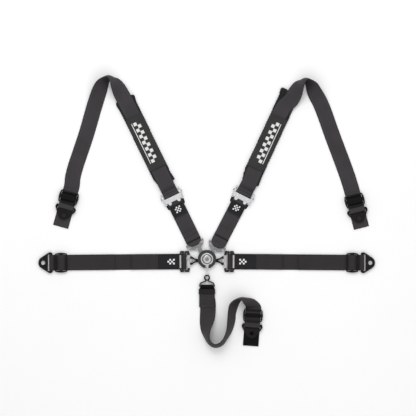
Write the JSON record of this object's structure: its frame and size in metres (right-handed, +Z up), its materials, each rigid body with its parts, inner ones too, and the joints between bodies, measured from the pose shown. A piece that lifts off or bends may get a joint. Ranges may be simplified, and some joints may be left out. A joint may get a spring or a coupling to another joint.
{
  "type": "racing harness",
  "caption": "Racing harness laid flat: rotary cam-lock buckle, lap straps, padded shoulder straps and a crotch strap, each ending in a bolt-in anchor plate.",
  "frame": {"origin": "on the axis of the rotary buckle, at the level of the surface the harness lies on", "axes": "+Z up out of the buckle's face, +Y towards the shoulder straps, +X towards the lap strap on the right of a picture taken from above"},
  "size_m": [1.096, 0.8796, 0.0527],
  "materials": {
    "webbing": "woven polyester, charcoal",
    "lap_webbing": "woven polyester, near black",
    "padding": "matt black padded cloth",
    "pad_cover": "smooth dark grey cloth with a pale printed band",
    "label": "tight black label cloth",
    "black_steel": "black powder coat",
    "steel": "satin plated steel",
    "aluminium": "bright satin",
    "knob_aluminium": "turned, bright",
    "cast_alloy": "dark grey satin coat",
    "spring_steel": "bare spring steel"
  },
  "bodies": {
    "buckle": {"buckle_housing": "cast_alloy", "buckle_back_plate": "black_steel", "back_screw_1": "steel", "back_screw_2": "steel", "back_screw_3": "steel", "back_screw_4": "steel", "return_spring": "spring_steel", "latch_leaf_spring": "spring_steel"},
    "knob": {"release_knob": "knob_aluminium", "knob_screw": "steel", "cam_spindle": "steel"},
    "pin_lap_left": {"latch_pin_lap_left": "steel"},
    "pin_lap_right": {"latch_pin_lap_right": "steel"},
    "pin_shoulder_left": {"latch_pin_shoulder_left": "steel"},
    "pin_shoulder_right": {"latch_pin_shoulder_right": "steel"},
    "pin_crotch": {"latch_pin_crotch": "steel"},
    "tongue_lap_left": {"lap_tongue_left": "black_steel"},
    "lap_left": {"lap_adjuster_frame_left": "black_steel", "lap_strap_left": "lap_webbing", "lap_label_left": "label", "lap_left_slide": "black_steel"},
    "bar_lap_left": {"lap_adjuster_bar_left": "steel"},
    "anchor_lap_left": {"lap_left_anchor_plate": "black_steel"},
    "tongue_lap_right": {"lap_tongue_right": "black_steel"},
    "lap_right": {"lap_adjuster_frame_right": "black_steel", "lap_strap_right": "lap_webbing", "lap_label_right": "label", "lap_right_slide": "black_steel"},
    "bar_lap_right": {"lap_adjuster_bar_right": "steel"},
    "anchor_lap_right": {"lap_right_anchor_plate": "black_steel"},
    "tongue_shoulder_left": {"shoulder_tongue_left": "steel"},
    "lower_left": {"shoulder_lower_strap_left": "webbing", "shoulder_label_left": "label"},
    "upper_left": {"adjuster_frame_left": "aluminium", "adjuster_pin_left": "steel", "pull_tab_left": "label", "shoulder_upper_strap_left": "webbing", "shoulder_left_slide": "black_steel"},
    "lever_left": {"adjuster_lever_left": "aluminium"},
    "pad_left": {"shoulder_pad_left": "padding", "pad_cover_left": "pad_cover"},
    "anchor_shoulder_left": {"shoulder_left_anchor_plate": "black_steel"},
    "tongue_shoulder_right": {"shoulder_tongue_right": "steel"},
    "lower_right": {"shoulder_lower_strap_right": "webbing", "shoulder_label_right": "label"},
    "upper_right": {"adjuster_frame_right": "aluminium", "adjuster_pin_right": "steel", "pull_tab_right": "label", "shoulder_upper_strap_right": "webbing", "shoulder_right_slide": "black_steel"},
    "lever_right": {"adjuster_lever_right": "aluminium"},
    "pad_right": {"shoulder_pad_right": "padding", "pad_cover_right": "pad_cover"},
    "anchor_shoulder_right": {"shoulder_right_anchor_plate": "black_steel"},
    "tongue_crotch": {"crotch_tongue": "black_steel"},
    "crotch": {"crotch_strap": "webbing", "crotch_keeper": "label", "crotch_slide": "black_steel"},
    "anchor_crotch": {"crotch_anchor_plate": "black_steel"}
  },
  "joints": [
    {"name": "knob_turn", "type": "hinge", "parent": "buckle", "child": "knob", "pos_m": [0, 0, 0.0175], "axis": [0, 0, 1], "range_deg": [-60, 60]},
    {"name": "pin_lap_left_drop", "type": "slide", "parent": "buckle", "child": "pin_lap_left", "axis": [0, 0, 1], "range_m": [-0.003, 0]},
    {"name": "pin_lap_right_drop", "type": "slide", "parent": "buckle", "child": "pin_lap_right", "axis": [0, 0, 1], "range_m": [-0.003, 0]},
    {"name": "pin_shoulder_left_drop", "type": "slide", "parent": "buckle", "child": "pin_shoulder_left", "axis": [0, 0, 1], "range_m": [-0.003, 0]},
    {"name": "pin_shoulder_right_drop", "type": "slide", "parent": "buckle", "child": "pin_shoulder_right", "axis": [0, 0, 1], "range_m": [-0.003, 0]},
    {"name": "pin_crotch_drop", "type": "slide", "parent": "buckle", "child": "pin_crotch", "axis": [0, 0, 1], "range_m": [-0.003, 0]},
    {"name": "lap_tongue_left_out", "type": "slide", "parent": "buckle", "child": "tongue_lap_left", "axis": [-1, -0.0087, 0], "range_m": [0, 0.03]},
    {"name": "lap_strap_left_tilt", "type": "hinge", "parent": "tongue_lap_left", "child": "lap_left", "pos_m": [-0.052, -0.00495, 0.00675], "axis": [-0.0087, 1, 0], "range_deg": [0, 45]},
    {"name": "lap_bar_left_slide", "type": "slide", "parent": "lap_left", "child": "bar_lap_left", "axis": [-1, -0.0087, 0], "range_m": [-0.0012, 0]},
    {"name": "lap_anchor_left_swing", "type": "hinge", "parent": "lap_left", "child": "anchor_lap_left", "pos_m": [-0.50648, -0.01192, 0.0053], "axis": [-0.0087, 1, 0], "range_deg": [0, 30]},
    {"name": "lap_tongue_right_out", "type": "slide", "parent": "buckle", "child": "tongue_lap_right", "axis": [1, -0.0087, 0], "range_m": [0, 0.03]},
    {"name": "lap_strap_right_tilt", "type": "hinge", "parent": "tongue_lap_right", "child": "lap_right", "pos_m": [0.052, -0.00495, 0.00675], "axis": [-0.0087, -1, 0], "range_deg": [0, 45]},
    {"name": "lap_bar_right_slide", "type": "slide", "parent": "lap_right", "child": "bar_lap_right", "axis": [1, -0.0087, 0], "range_m": [-0.0012, 0]},
    {"name": "lap_anchor_right_swing", "type": "hinge", "parent": "lap_right", "child": "anchor_lap_right", "pos_m": [0.50448, -0.0119, 0.0053], "axis": [-0.0087, -1, 0], "range_deg": [0, 30]},
    {"name": "shoulder_tongue_left_out", "type": "slide", "parent": "buckle", "child": "tongue_shoulder_left", "axis": [-0.6074, 0.7944, 0], "range_m": [0, 0.03]},
    {"name": "lower_strap_left_tilt", "type": "hinge", "parent": "tongue_shoulder_left", "child": "lower_left", "pos_m": [-0.03991, 0.05219, 0.00675], "axis": [0.8988, 0.4384, 0], "range_deg": [0, 40]},
    {"name": "adjuster_left_tilt", "type": "hinge", "parent": "lower_left", "child": "upper_left", "pos_m": [-0.10588, 0.18746, 0.0056], "axis": [0.8988, 0.4384, 0], "range_deg": [0, 20]},
    {"name": "lever_left_lift", "type": "hinge", "parent": "upper_left", "child": "lever_left", "pos_m": [-0.11596, 0.20813, 0.0071], "axis": [-0.8988, -0.4384, 0], "range_deg": [0, 50]},
    {"name": "pad_left_slide", "type": "slide", "parent": "upper_left", "child": "pad_left", "axis": [0.4368, -0.8996, 0], "range_m": [0, 0.008]},
    {"name": "shoulder_anchor_left_swing", "type": "hinge", "parent": "upper_left", "child": "anchor_shoulder_left", "pos_m": [-0.45892, 0.17015, 0.0075], "axis": [-0.9636, 0.2672, 0], "range_deg": [0, 30]},
    {"name": "shoulder_tongue_right_out", "type": "slide", "parent": "buckle", "child": "tongue_shoulder_right", "axis": [0.592, 0.8059, 0], "range_m": [0, 0.03]},
    {"name": "lower_strap_right_tilt", "type": "hinge", "parent": "tongue_shoulder_right", "child": "lower_right", "pos_m": [0.0338, 0.04602, 0.00675], "axis": [0.8886, -0.4587, 0], "range_deg": [0, 40]},
    {"name": "adjuster_right_tilt", "type": "hinge", "parent": "lower_right", "child": "upper_right", "pos_m": [0.10879, 0.19131, 0.0056], "axis": [0.8886, -0.4587, 0], "range_deg": [0, 20]},
    {"name": "lever_right_lift", "type": "hinge", "parent": "upper_right", "child": "lever_right", "pos_m": [0.11934, 0.21175, 0.0071], "axis": [-0.8886, 0.4587, 0], "range_deg": [0, 50]},
    {"name": "pad_right_slide", "type": "slide", "parent": "upper_right", "child": "pad_right", "axis": [-0.4195, -0.9078, 0], "range_m": [0, 0.008]},
    {"name": "shoulder_anchor_right_swing", "type": "hinge", "parent": "upper_right", "child": "anchor_shoulder_right", "pos_m": [0.48839, 0.1599, 0.0075], "axis": [-0.9681, -0.2504, 0], "range_deg": [0, 30]},
    {"name": "crotch_tongue_out", "type": "slide", "parent": "buckle", "child": "tongue_crotch", "axis": [0, 1, 0], "range_m": [0, 0.0426]},
    {"name": "crotch_strap_tilt", "type": "hinge", "parent": "tongue_crotch", "child": "crotch", "pos_m": [0, -0.088, 0.00675], "axis": [-1, 0, 0], "range_deg": [0, 40]},
    {"name": "crotch_anchor_swing", "type": "hinge", "parent": "crotch", "child": "anchor_crotch", "pos_m": [0.14729, -0.21491, 0.0075], "axis": [-0.9973, 0.0732, 0], "range_deg": [0, 30]}
  ]
}
